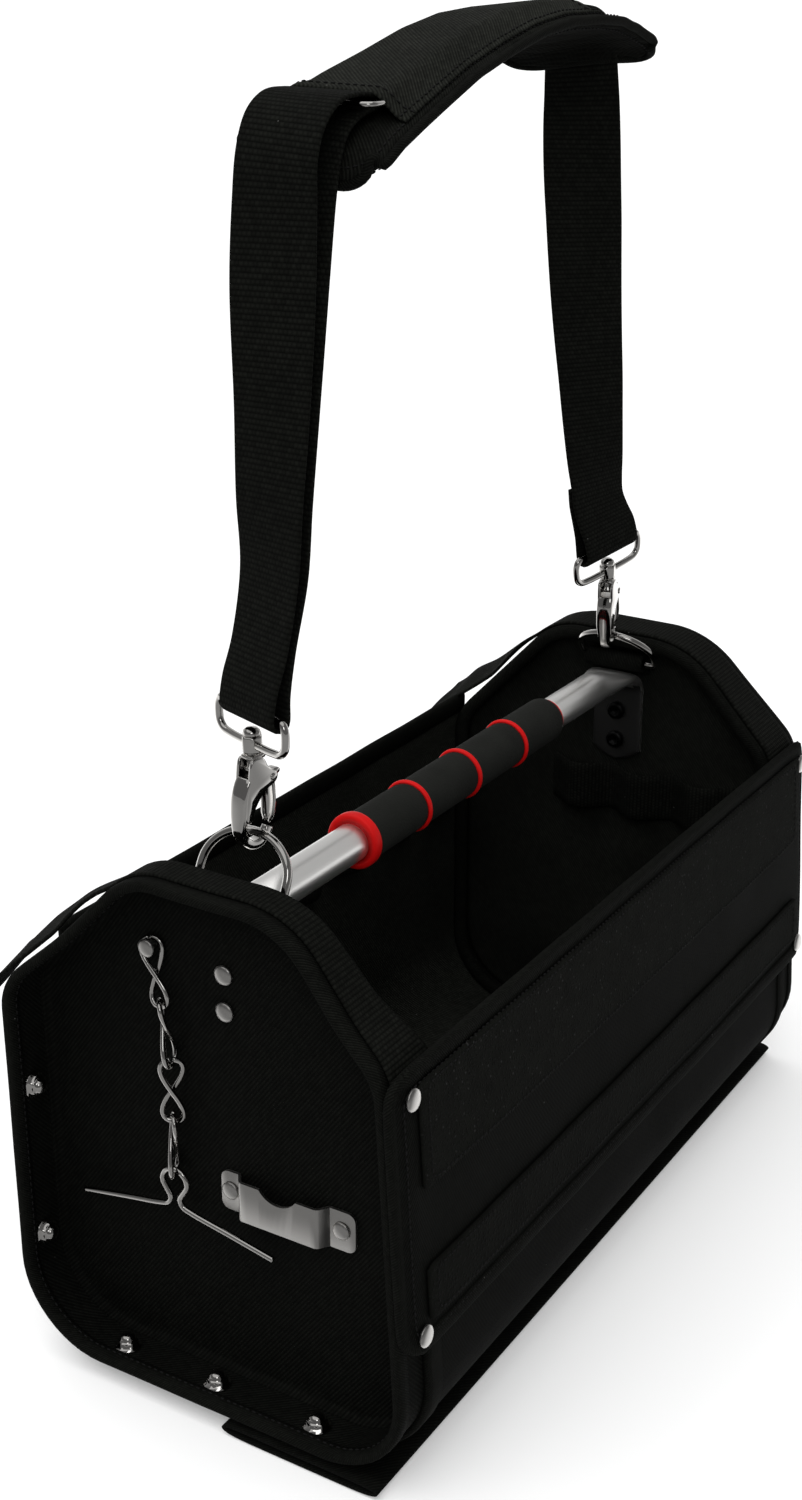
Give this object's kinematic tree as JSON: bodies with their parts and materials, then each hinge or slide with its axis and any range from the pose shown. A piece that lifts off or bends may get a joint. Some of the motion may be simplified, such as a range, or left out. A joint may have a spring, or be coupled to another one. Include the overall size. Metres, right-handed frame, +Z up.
{
  "type": "tool bag",
  "caption": "Open-topped cloth tool bag with stiff arched ends, a bolted tube handle with a foam grip, a front panel with fastening strips, a hanging chain and a padded shoulder strap.",
  "frame": {"origin": "middle of the shoulder pad's underside, where the raised strap is carried", "axes": "+X from the end with the chain to the far end, +Y from the front panel to the back wall, +Z up"},
  "size_m": [0.47, 0.2465, 0.6278],
  "materials": {
    "cloth": "heavy woven twill",
    "webbing": "ribbed woven tape",
    "fastening_tape": "hook and loop pile",
    "plated_metal": "bright nickel plate",
    "steel": "satin",
    "grip_foam": "matte foam",
    "red_trim": "satin"
  },
  "bodies": {
    "bag": {"end_tray_left": "cloth", "end_tray_right": "cloth", "body_wrap": "cloth", "front_panel": "cloth", "base_sleeve": "cloth", "shoulder_pad": "cloth", "rim_binding_left": "webbing", "rim_binding_right": "webbing", "arch_band_left": "webbing", "arch_band_right": "webbing", "ring_tab_left": "webbing", "ring_tab_right": "webbing", "strap_left": "webbing", "strap_right": "webbing", "tool_loops_end": "webbing", "tool_loops_back": "webbing", "hook_strip": "fastening_tape", "loop_strip": "fastening_tape", "panel_rivet_left_top": "plated_metal", "panel_rivet_left_low": "plated_metal", "panel_rivet_right_top": "plated_metal", "panel_rivet_right_low": "plated_metal", "cap_nut_base_1": "plated_metal", "cap_nut_base_2": "plated_metal", "cap_nut_base_3": "plated_metal", "cap_nut_back_1": "plated_metal", "cap_nut_back_2": "plated_metal", "tape_clip": "plated_metal", "clip_rivet_1": "plated_metal", "clip_rivet_2": "plated_metal", "chain_rivet": "plated_metal", "chain_link_1": "plated_metal", "chain_link_2": "plated_metal", "chain_link_3": "plated_metal", "chain_link_4": "plated_metal", "chain_toggle": "plated_metal", "strap_ring_left": "plated_metal", "strap_ring_right": "plated_metal", "hook_frame_left": "plated_metal", "hook_frame_right": "plated_metal", "strap_slider": "plated_metal", "handle_tube": "steel", "handle_screw_left_1": "steel", "handle_screw_left_2": "steel", "handle_screw_right_1": "steel", "handle_screw_right_2": "steel", "handle_grip": "grip_foam", "grip_end_left": "red_trim", "grip_end_right": "red_trim", "grip_ring_1": "red_trim", "grip_ring_2": "red_trim", "grip_ring_3": "red_trim"},
    "hook_left": {"snap_hook_left": "plated_metal"},
    "gate_left": {"hook_gate_left": "plated_metal"},
    "hook_right": {"snap_hook_right": "plated_metal"},
    "gate_right": {"hook_gate_right": "plated_metal"}
  },
  "joints": [
    {"name": "left_hook_swivel", "type": "hinge", "parent": "bag", "child": "hook_left", "pos_m": [-0.179, 0, -0.2845], "axis": [0, 0, 1], "range_deg": [-30, 40]},
    {"name": "left_gate_lever", "type": "hinge", "parent": "hook_left", "child": "gate_left", "pos_m": [-0.17066, -0.00102, -0.2985], "axis": [0.1219, 0.9925, 0], "range_deg": [0, 28], "stiffness_Nm_per_rad": 0.04, "springref_deg": -11.46},
    {"name": "right_hook_swivel", "type": "hinge", "parent": "bag", "child": "hook_right", "pos_m": [0.1638, -0.006, -0.2898], "axis": [-0.225, -0.051, 0.973], "range_deg": [-40, 25]},
    {"name": "right_gate_lever", "type": "hinge", "parent": "hook_right", "child": "gate_right", "pos_m": [0.17495, -0.00364, -0.30149], "axis": [-0.2026, 0.9793, 0.0045], "range_deg": [0, 28], "stiffness_Nm_per_rad": 0.04, "springref_deg": -11.46}
  ]
}
